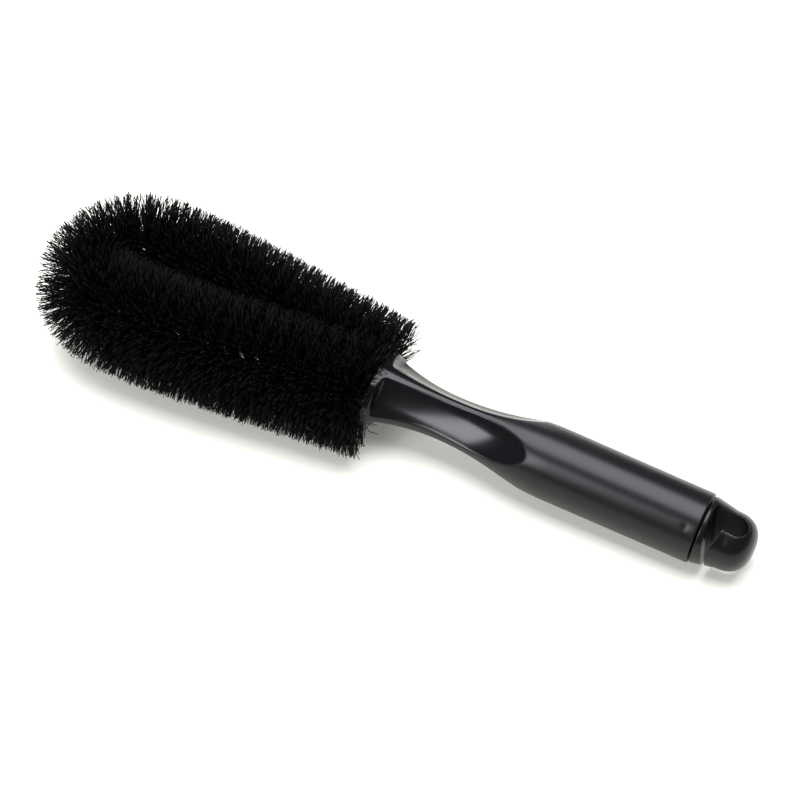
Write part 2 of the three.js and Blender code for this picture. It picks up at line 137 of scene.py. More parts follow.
# Bundles of filaments, one for each turn of the twisted wires
HEAD_FROM = -0.8
HEAD_START = STEM_END - HEAD_FROM  # the same place, counted along the stem
LEG_BUNDLES, BEND_BUNDLES = 8, 4
PITCH = (HEAD_FROM - LOOP_CENTRE) / LEG_BUNDLES  # of the twist, and the length of one bundle

# Filaments, with angles in radians
FILAMENTS_PER_BUNDLE = 1550
FILAMENT_RADIUS = 0.165
FILAMENT_SIDES = 3
THICKEST, THINNEST, TIP_WIDTH = 1.15, 0.85, 0.8  # in shares of the radius
LINE_SHARES = (0.05, 0.36, 0.62, 0.84, 1.0)  # where a filament's line has its points
LAY_SPREAD = 0.56  # how far the filaments stray from the plane of the two wires
MOUTH_SPREAD = 1.6  # how much further they stray at the handle's mouth
MOUTH_REACH = 4.0  # how far from the head's start the mouth is felt
FIRST_TIP = 0.3  # how far a tip may splay past the head's start
SPLAY, SPLAY_ANGLE = 1.3, 0.05  # how far the tips spread along the stem and round it
BEND_POWER, LEAN_POWER = 1.4, 3  # of the share of a filament's length
BOW, RIPPLE = 0.65, 0.26

# Tips of the filaments
TRIM_RADIUS = 22.0
TRIM_SPREAD, TRIM_LOSS = 0.4, 0.6
SHORT_SHARE = 0.22  # of the filaments, which are cut short
SHORT_FROM, SHORT_TO = 0.55, 0.9  # in shares of the length
TUFT_LENGTH, TUFT_ANGLE = 2.1, 0.1  # size of a tuft's cell
TUFT_PULL_FROM, TUFT_PULL_TO = 0.3, 0.9  # how far the tips move towards their tuft's middle
TUFT_TABLE = 64  # cells after which the places of the tufts repeat
TUFT_MARGIN = 0.1  # of a cell, from its edge to its tuft's middle at least

# Lean of the tips over the handle's mouth, more on the near leg than on the far one
NEAR_LEAN, NEAR_LEAN_SPREAD = 4.8, 0.4
FAR_LEAN, FAR_LEAN_SPREAD = 0.8, 0.9
LEAN_MIDDLE, LEAN_SWING = 1.8, 2.0  # more lean above the stem, less below it
LEAST_LEAN, FULL_LEAN = 0.1, 1.0

# Filaments on the table, and the random draws
PUSHED_ALONG = 0.7  # how far a point slides over the table for each millimetre that it is pushed up
FIRST_SEED = 100  # of the first bundle; each next one's is one more

TINY = 1e-9  # keeps a length of zero from being divided by


# ---------------------------------------------------------------- placing and meshes

TURN = frame["joints"][0]
AXIS_X = np.array(TURN["axis"], float) / np.linalg.norm(TURN["axis"])
AXIS_Y = np.array([0.0, 1.0, 0.0])
AXIS_Z = np.cross(AXIS_X, AXIS_Y)
GRIP_END_PLACE = np.array(TURN["pos_m"], float)
UP = np.array([0.0, 0.0, 1.0])


def placed(points):
    """Points of the brush's own frame, in millimetres, as they lie on the table, in metres."""
    points = np.asarray(points, float)
    along = (points[..., :1] - GRIP_END) * AXIS_X
    return GRIP_END_PLACE + MM * (along + points[..., 1:2] * AXIS_Y + points[..., 2:] * AXIS_Z)


def vertices(piece):
    """The places of a piece's vertices."""
    points = np.empty(len(piece.data.vertices) * 3, np.float32)
    piece.data.vertices.foreach_get("co", points)
    return points.reshape(-1, 3).astype(float)


def unplaced(points):
    """Places on the table, in metres, as points of the brush's own frame, in millimetres."""
    off = (points - GRIP_END_PLACE) / MM
    return np.stack([off @ AXIS_X + GRIP_END, off @ AXIS_Y, off @ AXIS_Z], -1)


def linked(name, data):
    """A new object in the scene."""
    made = bpy.data.objects.new(name, data)
    bpy.context.scene.collection.objects.link(made)
    return made


def mesh_piece(name, points, quads, triangles):
    """A smooth mesh object from placed points, an array of quads and an array of triangles."""
    corners = np.concatenate([np.ravel(quads), np.ravel(triangles)]).astype(np.int32)
    sizes = np.concatenate([np.full(len(quads), 4), np.full(len(triangles), 3)]).astype(np.int32)
    mesh = bpy.data.meshes.new(name)
    mesh.vertices.add(len(points))
    mesh.vertices.foreach_set("co", np.ravel(points).astype(np.float32))
    mesh.loops.add(len(corners))
    mesh.loops.foreach_set("vertex_index", corners)
    mesh.polygons.add(len(sizes))
    mesh.polygons.foreach_set("loop_start", (np.cumsum(sizes) - sizes).astype(np.int32))
    mesh.polygons.foreach_set("use_smooth", np.ones(len(sizes), bool))
    mesh.update(calc_edges=True)
    mesh.validate()
    return linked(name, mesh)


def round_angles(columns):
    """Evenly spaced angles once round a circle."""
    return np.linspace(0, 2 * math.pi, columns, endpoint=False)


def grid_quads(rows, columns):
    """Quads of a grid of points, row after row, whose columns close on themselves."""
    i, j = np.meshgrid(np.arange(rows - 1), np.arange(columns), indexing="ij")
    beside = (j + 1) % columns
    below = (i + 1) * columns
    corners = [i * columns + j, i * columns + beside, below + beside, below + j]
    return np.stack(corners, -1).reshape(-1, 4)


def closed_tube(rings, first_pole, last_pole):
    """Points, quads and triangles of a skin over rings (rows, columns, 3), closed to a point at each end."""
    rows, columns = rings.shape[:2]
    points = np.concatenate([rings.reshape(-1, 3), [first_pole], [last_pole]])
    j = np.arange(columns)
    beside = (j + 1) % columns
    last = (rows - 1) * columns
    first_fan = np.stack([np.full(columns, rows * columns), beside, j], -1)
    last_fan = np.stack([np.full(columns, rows * columns + 1), last + j, last + beside], -1)
    return points, grid_quads(rows, columns), np.concatenate([first_fan, last_fan])


def face_outwards(piece):
    """Turns a closed mesh so that it encloses a positive volume: the sum of the volumes of the tetrahedra
    that its triangles make with its first vertex."""
    mesh = piece.data
    mesh.calc_loop_triangles()
    corners = np.zeros(3 * len(mesh.loop_triangles), np.int32)
    mesh.loop_triangles.foreach_get("vertices", corners)
    points = vertices(piece)
    a, b, c = np.moveaxis(points[corners.reshape(-1, 3)] - points[0], 1, 0)
    if np.einsum("ij,ij->", a, np.cross(b, c)) < 0:
        mesh.flip_normals()
    return piece


def apply_modifiers(piece):
    """Replaces a piece's mesh by what its modifiers make of it."""
    depsgraph = bpy.context.evaluated_depsgraph_get()
    made = bpy.data.meshes.new_from_object(piece.evaluated_get(depsgraph), depsgraph=depsgraph)
    piece.modifiers.clear()
    old, piece.data = piece.data, made
    name = old.name
    bpy.data.meshes.remove(old)
    made.name = name
    return piece


def cut_away(piece, tool):
    """Cuts a closed tool piece out of a piece, and removes the tool."""
    cut = piece.modifiers.new("cut", "BOOLEAN")
    cut.operation, cut.solver, cut.object = "DIFFERENCE", "EXACT", tool
    apply_modifiers(piece)
    bpy.data.objects.remove(tool)


def smoothstep(t):
    """A smooth step from 0 at t = 0 to 1 at t = 1."""
    t = np.clip(t, 0, 1)
    return t * t * (3 - 2 * t)


def smaller(a, b, blend):
    """The smaller of two arrays, with the crease between them rounded over a width of about blend."""
    mean, gap = (a + b) / 2, (a - b) / 2
    return mean - np.sqrt(gap**2 + (blend / 2) ** 2)


def unit(vectors):
    """Vectors made one long, where they have a length."""
    return vectors / (np.linalg.norm(vectors, axis=-1, keepdims=True) + TINY)


def give_polish(piece, polish):
    """Writes the polish, a number from 0 to 1 for each vertex, where the material finds it."""
    attribute = piece.data.attributes.new("polish", "FLOAT", "POINT")
    attribute.data.foreach_set("value", polish.astype(np.float32))


# ---------------------------------------------------------------- handle


def handle_halves(x):
    """Half width and half height of the uncut handle: a parabola from the neck to the mouth, and a smooth
    step from the neck to the grip, which tapers a little towards its end."""
    flare = np.maximum(0, 1 - x / NECK_AT) ** 2
    widened = smoothstep((x - NECK_AT) / (GRIP_FROM - NECK_AT))
    taper = (GRIP_RADIUS - GRIP_END_RADIUS) * np.clip((x - GRIP_FROM) / (GRIP_END - GRIP_FROM), 0, 1)

    def half(neck, mouth):
        return neck + (mouth - neck) * flare + (GRIP_RADIUS - neck) * widened - taper

    return half(NECK_HALF_WIDTH, MOUTH_HALF_WIDTH), half(NECK_HALF_HEIGHT, MOUTH_HALF_HEIGHT)


def trough_floor(x):
    """Distance of a trough's floor from the axis: it rises in a curve to the grip, in a parabola towards the
    mouth, and in a steep wall at the mouth's end."""
    tip_radius = handle_halves(np.array(TROUGH_TIP))[0]
    along = np.maximum(0, x - TROUGH_FLOOR_AT) / (TROUGH_TIP - TROUGH_FLOOR_AT)
    back = np.maximum(0, TROUGH_FLOOR_AT - x) / TROUGH_FLOOR_AT
    wall = np.maximum(0, TROUGH_WALL_FROM - x) / TROUGH_WALL_LENGTH
    rise = (tip_radius - TROUGH_FLOOR) * along**TROUGH_RUN_OUT
    return TROUGH_FLOOR + rise + TROUGH_MOUTH_RISE * back**2 + TROUGH_WALL_RISE * wall**TROUGH_WALL_POWER


def handle_radius(x, angle):
    """Radius of the handle's surface: an ellipse, cut by four troughs whose floors are parabolas across, less
    the sink mark, which is a bell curve both ways."""
    half_width, half_height = handle_halves(x)
    uncut = 1 / np.hypot(np.cos(angle) / half_width, np.sin(angle) / half_height)
    off = np.mod(angle, math.pi / 2) - math.pi / 4
    bottom = trough_floor(x)
    inside = np.cos(off) ** 2 - 4 * TROUGH_HOLLOW * np.sin(off) ** 2 * bottom
    cut = 2 * bottom / (np.cos(off) + np.sqrt(np.maximum(inside, 0)))
    cut = np.where(inside < 0, uncut + CUTS_NOTHING, cut)
    sunk = np.exp(-(((x - SINK_AT) / SINK_LENGTH) ** 2) - ((angle - SINK_ANGLE) / SINK_TURN) ** 2)
    return smaller(uncut, cut, TROUGH_EDGE) - SINK_DEPTH * sunk


def handle_polish(points):
    """Polish of the handle: 1 on the neck and where a trough is cut deep enough below the ellipse, and 0 on
    the grip."""
    x, radius = points[:, 0], np.hypot(points[:, 1], points[:, 2])
    half_width, half_height = handle_halves(x)
    share = np.hypot(points[:, 1] / half_width, points[:, 2] / half_height)
    uncut = radius / np.maximum(share, TINY)
    in_trough = smoothstep((uncut - radius) / POLISH_DEPTH) * (x < TROUGH_TIP)
    on_neck = smoothstep((NECK_POLISH_TO - x) / NECK_POLISH_FADE)
    return np.maximum(in_trough, on_neck)


def handle_shell():
    """The handle: rings of radius R(x, angle) along the axis, rounded over at the mouth and at the grip's
    end, and then back inside along the bore to its bottom."""
    angle = round_angles(HANDLE_COLUMNS)
    turn = np.linspace(0, math.pi / 2, ROUND_ROWS)
    neck = np.arange(MOUTH_ROUND + FIRST_FINE_ROW, TROUGH_TIP + NECK_ROWS_PAST_TIP, FINE_ROW)
    grip = np.linspace(TROUGH_TIP + GRIP_ROWS_PAST_TIP, GRIP_ROWS_TO, GRIP_ROWS)
    round_sink = np.arange(GRIP_ROWS_TO + FINE_ROW, GRIP_END - GRIP_ROUND - LAST_ROW_GAP, FINE_ROW)
    rows = []
    for t in turn:
        x = MOUTH_ROUND * (1 - math.cos(t))
        rows.append((x, handle_radius(x, angle) - MOUTH_ROUND * (1 - math.sin(t))))
    for x in [*neck, *grip, *round_sink]:
        rows.append((x, handle_radius(x, angle)))
    for t in turn:
        x = GRIP_END - GRIP_ROUND * (1 - math.sin(t))
        rows.append((x, handle_radius(x, angle) - GRIP_ROUND * (1 - math.cos(t))))
    bore = [
        (GRIP_END, BORE_RADIUS + BORE_CHAMFER),
        (GRIP_END - BORE_CHAMFER, BORE_RADIUS),
        (GRIP_END - BORE_ROW, BORE_RADIUS),
        (BORE_FROM + BORE_CONE, BORE_RADIUS),
        (BORE_FROM, BORE_RADIUS / 2),
    ]
    for x, radius in bore:
        rows.append((x, np.full(HANDLE_COLUMNS, radius)))
    rings = [np.stack([np.full_like(r, x), r * np.cos(angle), r * np.sin(angle)], -1) for x, r in rows]
    points, quads, triangles = closed_tube(np.array(rings), (0, 0, 0), (BORE_FROM, 0, 0))
    shell = face_outwards(mesh_piece("handle_shell", placed(points), quads, triangles))
    give_polish(shell, handle_polish(points))
    return shell


# ---------------------------------------------------------------- hook cap


def cap_radius(way):
    """Radius of the cap at a distance from the grip's end: a slow taper, then a superellipse nose."""
    straight = CAP_RIM_RADIUS - CAP_TAPER * np.minimum(way, NOSE_FROM)
    share = np.clip((way - NOSE_FROM) / (CAP_LENGTH - NOSE_FROM), 0, 1)
    return straight * (1 - share**NOSE_POWER) ** (1 / NOSE_POWER)


def turned_solid(name, profile, columns):
    """A closed solid turned about X from [x, radius] points, which start and end next to the axis."""
    profile = np.array(profile, float)
    angle = round_angles(columns)
    x = np.repeat(profile[:, :1], columns, 1)
    rings = np.stack([x, np.outer(profile[:, 1], np.cos(angle)), np.outer(profile[:, 1], np.sin(angle))], -1)
    points, quads, triangles = closed_tube(rings, (profile[0, 0], 0, 0), (profile[-1, 0], 0, 0))
    return face_outwards(mesh_piece(name, placed(points), quads, triangles))


def arc(centre, radius, start, end, steps):
    """Points of an arc in the XY plane."""
    t = np.linspace(start, end, steps)
    return np.stack([centre[0] + radius * np.cos(t), centre[1] + radius * np.sin(t)], -1)


def slot_tool():
    """The hook slot as a prism along Z: pocket, round end, hook tip, and the mouth to the -Y side. The points
    of its near side move on in proportion to how far below DRAFT_FROM they lie."""
    quarter = math.pi / 2
    top, bottom = POCKET_MIDDLE + POCKET_HALF, POCKET_MIDDLE - POCKET_HALF
    corner_at = POCKET_BACK + POCKET_CORNER
    outline = np.concatenate(
        [
            arc((POCKET_END - POCKET_HALF, POCKET_MIDDLE), POCKET_HALF, quarter, -quarter, END_STEPS),
            [(HOOK_TIP_AT, bottom), (HOOK_SIDE_AT, -HOOK_SIDE_FROM), (HOOK_SIDE_AT, -OUTSIDE_CAP)],
            [(SLOT_MOUTH_BACK, -OUTSIDE_CAP), (POCKET_BACK, 0)],
            arc((corner_at, top - POCKET_CORNER), POCKET_CORNER, math.pi, quarter, CORNER_STEPS),
        ]
    )
    on_near_side = outline[:, 0] < HOOK_SIDE_AT
    rings = []
    for z in (-SLOT_HALF_DEPTH, SLOT_HALF_DEPTH):
        x = GRIP_END + outline[:, 0] + SLOT_DRAFT * (DRAFT_FROM - z) * on_near_side
        rings.append(np.stack([x, outline[:, 1], np.full_like(x, z)], -1))
    columns = len(outline)
    ends = [list(range(columns)), list(range(2 * columns - 1, columns - 1, -1))]
    sides = grid_quads(2, columns).tolist()
    mesh = bpy.data.meshes.new("slot_tool")
    mesh.from_pydata(placed(np.concatenate(rings)).tolist(), [], sides + ends)
    return face_outwards(linked("slot_tool", mesh))


def cap_polish(points):
    """Polish of the cap: 1 on its outside and in the mouth of the slot, and 0 in the slot's pocket. A point's
    share is the size of the superellipse through it, which is 1 on the outside."""
    way, radius = points[:, 0] - GRIP_END, np.hypot(points[:, 1], points[:, 2])
    straight = CAP_RIM_RADIUS - CAP_TAPER * np.clip(way, 0, NOSE_FROM)
    along_nose = np.maximum(way - NOSE_FROM, 0) / (CAP_LENGTH - NOSE_FROM)
    share = (along_nose**NOSE_POWER + (radius / straight) ** NOSE_POWER) ** (1 / NOSE_POWER)
    in_mouth = smoothstep((-MOUTH_POLISH_FROM - points[:, 1]) / MOUTH_POLISH_FADE)
    return np.maximum(in_mouth, smoothstep((share - CAP_POLISH_FROM) / CAP_POLISH_FADE))


def cap_shell():
    """The hook cap: a turned solid with a hollow spigot and the slot cut through it. It is then remeshed and
    relaxed a little, which rounds its edges as a mould does."""
    spigot_end = GRIP_END - SPIGOT_LENGTH
    bore_radius = SPIGOT_RADIUS - SPIGOT_WALL
    straight = np.linspace(STRAIGHT_FROM, STRAIGHT_TO, STRAIGHT_ROWS)
    nose = NOSE_FROM + (CAP_LENGTH - NOSE_FROM) * np.sin(np.linspace(0, math.pi / 2, NOSE_ROWS)[:-1])
    profile = [
        (GRIP_END - SPIGOT_FLOOR, PROFILE_END),
        (GRIP_END - SPIGOT_FLOOR, bore_radius),
        (spigot_end, bore_radius),
        (spigot_end, SPIGOT_RADIUS - SPIGOT_CHAMFER),
        (spigot_end + SPIGOT_CHAMFER, SPIGOT_RADIUS),
        (GRIP_END + CAP_GAP, SPIGOT_RADIUS),
        (GRIP_END + CAP_GAP, CAP_RIM_RADIUS - CAP_RIM_CHAMFER),
    ]
    profile += [(GRIP_END + way, cap_radius(way)) for way in [CAP_GAP + CAP_RIM_CHAMFER, *straight, *nose]]
    profile += [(GRIP_END + CAP_LENGTH, PROFILE_END)]
    cap = turned_solid("cap_shell", profile, CAP_COLUMNS)
    cut_away(cap, slot_tool())
    remesh = cap.modifiers.new("even", "REMESH")
    remesh.mode, remesh.voxel_size, remesh.use_smooth_shade = "VOXEL", CAP_VOXEL * MM, True
    relax = cap.modifiers.new("relax", "SMOOTH")
    relax.factor, relax.iterations = CAP_RELAX, CAP_RELAX_STEPS
    face_outwards(apply_modifiers(cap))
    give_polish(cap, cap_polish(unplaced(vertices(cap))))
    return cap


# ---------------------------------------------------------------- stem


def leg_offset(x):
    """Distance of the stem's leg from the middle plane: a cosine step from the handle to the bend."""
    along = np.clip((STEM_STRAIGHT_AT - x) / (STEM_STRAIGHT_AT - LOOP_CENTRE), 0, 1)
    return STEM_HALF_GAP + (LOOP_HALF_WIDTH - STEM_HALF_GAP) * (1 - np.cos(math.pi * along)) / 2


def along_stem(way):
    """Points of the stem's centreline and the sideways direction there: out along the +Y leg, half a circle
    round the bend, and back along the -Y leg. way is counted from the stem's end in the handle."""
    way = np.asarray(way, float)
    bend_angle = np.clip((way - LEG) / LOOP_HALF_WIDTH, 0, math.pi)
    out = way < LEG
    on_leg = out | (way > LEG + BEND)
    leg_x = np.where(out, STEM_END - way, LOOP_CENTRE + way - LEG - BEND)
    side = np.where(out, 1.0, -1.0)
    x = np.where(on_leg, leg_x, LOOP_CENTRE - LOOP_HALF_WIDTH * np.sin(bend_angle))
    y = np.where(on_leg, side * leg_offset(leg_x), LOOP_HALF_WIDTH * np.cos(bend_angle))
    slope = (leg_offset(leg_x + SLOPE_STEP) - leg_offset(leg_x - SLOPE_STEP)) / (2 * SLOPE_STEP)
    tangent_x = np.where(on_leg, -side, -np.cos(bend_angle))
    tangent_y = np.where(on_leg, -slope, -np.sin(bend_angle))
    length = np.hypot(tangent_x, tangent_y)
    centre = np.stack([x, y, np.zeros_like(x)], -1)
    across = np.stack([-tangent_y / length, tangent_x / length, np.zeros_like(x)], -1)
    return centre, across


def round_tube(line, radius, columns):
    """Rings of a round tube about a line of points: each ring stands square to the line, on two directions,
    one level and one square to it."""
    tangent = unit(np.gradient(line, axis=0))
    first = unit(np.cross(tangent, UP))
    second = np.cross(tangent, first)
    angle = round_angles(columns)[None, :, None]
    return line[:, None] + radius * (np.cos(angle) * first[:, None] + np.sin(angle) * second[:, None])


def wire(name, phase):
    """One of the two stem wires: a round tube along a helix about the stem's centreline."""
    way = np.linspace(0, STEM_LENGTH, WIRE_ROWS)
    centre, across = along_stem(way)
    turn = (phase + 2 * math.pi * way / PITCH)[:, None]
    line = centre + WIRE_OFFSET * (np.cos(turn) * across + np.sin(turn) * UP)
    points, quads, triangles = closed_tube(round_tube(line, WIRE_RADIUS, WIRE_COLUMNS), line[0], line[-1])
    return face_outwards(mesh_piece(name, placed(points), quads, triangles))


# ---------------------------------------------------------------- filaments


def clumped(rng, along, around, pull):
    """Moves points of the unrolled brush surface towards the middles of jittered cells, as tips gather in
    tufts."""
    row = np.floor(along / TUFT_LENGTH).astype(int)
    column = np.floor(around / TUFT_ANGLE).astype(int)
    table = rng.uniform(TUFT_MARGIN, 1 - TUFT_MARGIN, (TUFT_TABLE, TUFT_TABLE, 2))
    jitter = table[row % TUFT_TABLE, column % TUFT_TABLE]
    middle_along = (row + jitter[:, 0]) * TUFT_LENGTH
    middle_around = (column + jitter[:, 1]) * TUFT_ANGLE
    return along + pull * (middle_along - along), around + pull * (middle_around - around)


def filament_lines(rng, way_from, way_to):
    """Centrelines (filament, point, 3) of the filaments clamped in one turn of the stem. Each leaves the
    stem in the plane of the two wires there, give or take, bows and ripples a little, bends by a power of
    its length to a tip in a tuft, and is trimmed at the brush's radius or cut short. Next to the handle the
    tips lean over its mouth, by the cube of the length."""
    count = FILAMENTS_PER_BUNDLE
    way = rng.uniform(way_from, way_to, count)
    from_mouth = np.minimum(way, STEM_LENGTH - way) - HEAD_START
    at_mouth = np.exp(-((from_mouth / MOUTH_REACH) ** 2))
    angle = 2 * math.pi * way / PITCH + math.pi / 2 + math.pi * rng.integers(0, 2, count)
    angle += rng.normal(0, 1, count) * (LAY_SPREAD + MOUTH_SPREAD * at_mouth)
    first_way = HEAD_START - FIRST_TIP
    splayed_way = np.clip(way + rng.normal(0, SPLAY, count), first_way, STEM_LENGTH - first_way)
    splayed_angle = angle + rng.normal(0, SPLAY_ANGLE, count)
    pull = rng.uniform(TUFT_PULL_FROM, TUFT_PULL_TO, count)
    tip_way, tip_angle = clumped(rng, splayed_way, splayed_angle, pull)
    length = TRIM_RADIUS + rng.normal(0, TRIM_SPREAD, count) - rng.exponential(TRIM_LOSS, count)
    short = rng.random(count) < SHORT_SHARE
    length = np.where(short, length * rng.uniform(SHORT_FROM, SHORT_TO, count), length)
    side = np.where(way < LEG + BEND / 2, -1.0, 1.0)
    near_lean = NEAR_LEAN + rng.exponential(NEAR_LEAN_SPREAD, count)
    far_lean = FAR_LEAN + rng.exponential(FAR_LEAN_SPREAD, count)
    upwards = np.clip(LEAN_MIDDLE + LEAN_SWING * np.sin(angle), LEAST_LEAN, FULL_LEAN)
    lean = side * at_mouth * np.where(side > 0, near_lean, far_lean) * upwards
    bow = rng.normal(0, BOW, (count, 3))
    points = []
    for share in LINE_SHARES:
        bent = share**BEND_POWER
        w = way + bent * (tip_way - way) + lean * share**LEAN_POWER
        a = angle + bent * (tip_angle - angle)
        middle, across = along_stem(np.clip(w, 0, STEM_LENGTH))
        reach = (length * share)[:, None]
        ripple = rng.normal(0, RIPPLE, (count, 3))
        out = middle + reach * (np.cos(a)[:, None] * across + np.sin(a)[:, None] * UP)
        points.append(out + (4 * share * (1 - share)) * (bow + ripple))
    return np.stack(points, 1)


def laid_on_table(lines):
    """Placed filament lines with what would go through the table bent along it: a point that is pushed up
    moves on in the direction in which its filament lies."""
    heading = unit(lines[:, -1, :2] - lines[:, 0, :2])
    depth = np.maximum(0, FILAMENT_RADIUS * MM - lines[..., 2])
    bent = lines.copy()
    bent[..., :2] += PUSHED_ALONG * depth[..., None] * heading[:, None]
    bent[..., 2] += depth
    return bent


def filament_skin(rng, lines):
    """Points, quads and triangles of three-sided filaments about their lines, thinner to the tip, each
    closed at both ends."""
    count, steps = lines.shape[:2]
    tangent = unit(np.gradient(lines, axis=1))
    first = unit(np.cross(tangent, rng.normal(0, 1, (count, 1, 3))))
    second = np.cross(tangent, first)
    narrowing = np.linspace(1.0, TIP_WIDTH, steps)[None, :, None, None]
    width = rng.uniform(THINNEST, THICKEST, (count, 1, 1, 1)) * narrowing
    angle = round_angles(FILAMENT_SIDES)[None, None, :, None]
    spread = np.cos(angle) * first[:, :, None] + np.sin(angle) * second[:, :, None]
    points = lines[:, :, None] + MM * FILAMENT_RADIUS * width * spread
    base = (np.arange(count) * steps * FILAMENT_SIDES)[:, None, None]
    quads = base + grid_quads(steps, FILAMENT_SIDES)[None]
    last = FILAMENT_SIDES * (steps - 1)
    ends = base + np.array([[2, 1, 0], [last, last + 1, last + 2]])[None]
    return points.reshape(-1, 3), quads.reshape(-1, 4), ends.reshape(-1, 3)


def filament_bundle(name, index, way_from, way_to):
    """The filaments of one turn of the stem."""
    rng = np.random.default_rng(FIRST_SEED + index)
    lines = laid_on_table(placed(filament_lines(rng, way_from, way_to)))
    points, quads, triangles = filament_skin(rng, lines)
    return face_outwards(mesh_piece(name, points, quads, triangles))


# ---------------------------------------------------------------- materials


class Socket:
    """A node's output socket that can be used in Python expressions on numbers."""

    def __init__(self, paint, socket):
        self.paint, self.socket = paint, socket

    def _math(self, operation, first, second):
        return self.paint.node("ShaderNodeMath", {"operation": operation}, {0: first, 1: second})

    def __add__(self, other):
        return self._math("ADD", self, other)

    def __radd__(self, other):
        return self._math("ADD", other, self)

    def __sub__(self, other):
        return self._math("SUBTRACT", self, other)

    def __rsub__(self, other):
        return self._math("SUBTRACT", other, self)

    def __mul__(self, other):
        return self._math("MULTIPLY", self, other)

    def __rmul__(self, other):
        return self._math("MULTIPLY", other, self)


class Paint:
    """A material made of nodes."""

    def __init__(self, name):
        self.material = bpy.data.materials.new(name)
        self.material.use_nodes = True
        self.tree = self.material.node_tree
        self.shader = self.tree.nodes["Principled BSDF"]

    def feed(self, target, value):
        """Links a socket to an input, or gives the input a value."""
        if isinstance(value, Socket):
            self.tree.links.new(value.socket, target)
        else:
            target.default_value = value

    def node(self, kind, settings=None, inputs=None, output=0):
        """A node of a type: its settings first, then the values or links of its sockets."""
        made = self.tree.nodes.new(kind)
        for key, value in (settings or {}).items():
            if key == "stops":
                for element, (position, shade) in zip(made.color_ramp.elements, value):
                    element.position = position
                    element.color = (shade, shade, shade, 1)
            else:
                setattr(made, key, value)
        for key, value in (inputs or {}).items():
            self.feed(made.inputs[key], value)
        return Socket(self, made.outputs[output])

    def noise(self, scale, detail):
        """Noise on the object's coordinates, with scale cells to the metre."""
        place = self.node("ShaderNodeTexCoord", output="Object")
        return self.node("ShaderNodeTexNoise", inputs={"Vector": place, "Scale": scale, "Detail": detail})

    def mixed(self, factor, first, second):
        """A colour between two colours. A Mix node's colours are its inputs 6 and 7 and its output 2."""
        inputs = {0: factor, 6: first, 7: second}
        return self.node("ShaderNodeMix", {"data_type": "RGBA"}, inputs, output=2)

    def bump(self, height, strength):
        """A normal that follows a height, which is counted in tenths of a millimetre."""
        inputs = {"Strength": strength, "Distance": MM / 10, "Height": height}
        return self.node("ShaderNodeBump", inputs=inputs)

    def finish(self, **sockets):
        """Feeds the shader's sockets, which are named in small letters, and gives the material."""
        for key, value in sockets.items():
            self.feed(self.shader.inputs[key.replace("_", " ").title().replace("Ior", "IOR")], value)
        return self.material


def grey(shade, blue):
    """A grey colour with a little more blue."""
    return (shade, shade, shade + blue, 1)


def moulded_plastic(name, dark, light, roughness, smoothing):
    """Black moulded plastic: a fine grain, a faint waviness and duller patches. Where the mould is polished
    it is smoother, by the share that smoothing gives."""
    paint = Paint(name)
    patches = paint.noise(scale=90.0, detail=4.0)
    fine = paint.noise(scale=2600.0, detail=2.0)
    wave = paint.noise(scale=60.0, detail=1.0)
    smears = paint.node("ShaderNodeValToRGB", {"stops": [(0.35, 0.0), (0.75, 1.0)]}, {"Fac": patches})
    polish = paint.node("ShaderNodeAttribute", {"attribute_name": "polish"}, output="Fac")
    matt = 1 - polish * smoothing
    return paint.finish(
        base_color=paint.mixed(patches, dark, light),
        roughness=(fine * 0.03 + smears * 0.03 + roughness) * matt,
        specular_ior_level=0.27,
        normal=paint.bump(fine * matt + wave * 0.5, strength=0.05),
    )


def stem_steel():
    """Zinc-plated steel wire: bright, with dull spots and fine draw marks."""
    paint = Paint("stem_steel")
    spots = paint.noise(scale=700.0, detail=4.0)
    draw_marks = paint.noise(scale=3500.0, detail=2.0)
    return paint.finish(
        base_color=paint.mixed(spots, (0.42, 0.43, 0.44, 1), (0.66, 0.67, 0.68, 1)),
        metallic=1.0,
        roughness=0.28 + spots * 0.22,
        normal=paint.bump(draw_marks, strength=0.15),
    )


def black_filament():
    """Black filament: dull, with each filament a little lighter or darker than the next."""
    paint = Paint("black_filament")
    each = paint.noise(scale=1500.0, detail=2.0)
    patches = paint.noise(scale=160.0, detail=3.0)
    shade = each * 0.6 + patches * 0.4
    return paint.finish(
        base_color=paint.mixed(shade, grey(0.001, blue=0.0001), grey(0.0036, blue=0.0004)),
        roughness=0.42 + each * 0.25,
        specular_ior_level=0.08,
        normal=paint.bump(each, strength=0.2),
    )


# ---------------------------------------------------------------- the brush


def covered(piece, material):
    """Gives a piece one material."""
    piece.data.materials.clear()
    piece.data.materials.append(material)
    return piece


def dress(piece, material, body, node):
    """Gives a new piece its material and its body, and hides the CAD node that it stands for."""
    covered(piece, material)
    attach(piece, body)
    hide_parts(node)


def bundles():
    """The name of each bundle's CAD node and its length along the stem: out along the far leg, round the
    bend, and back along the near leg."""
    far = [(f"far_bundle_{i}", PITCH) for i in range(1, LEG_BUNDLES + 1)]
    bend = [(f"bend_bundle_{i}", BEND / BEND_BUNDLES) for i in range(1, BEND_BUNDLES + 1)]
    near = [(f"near_bundle_{i}", PITCH) for i in range(LEG_BUNDLES, 0, -1)]
    return far + bend + near


grip_plastic = moulded_plastic(
    "handle_plastic",
    dark=grey(0.0022, blue=0.0006),
    light=grey(0.0032, blue=0.0006),
    roughness=0.29,
    smoothing=0.52,
)
cap_plastic = moulded_plastic(
    "cap_plastic",
    dark=grey(0.0021, blue=0.0006),
    light=grey(0.003, blue=0.0006),
    roughness=0.5,
    smoothing=0.5,
)
steel = stem_steel()
nylon = black_filament()

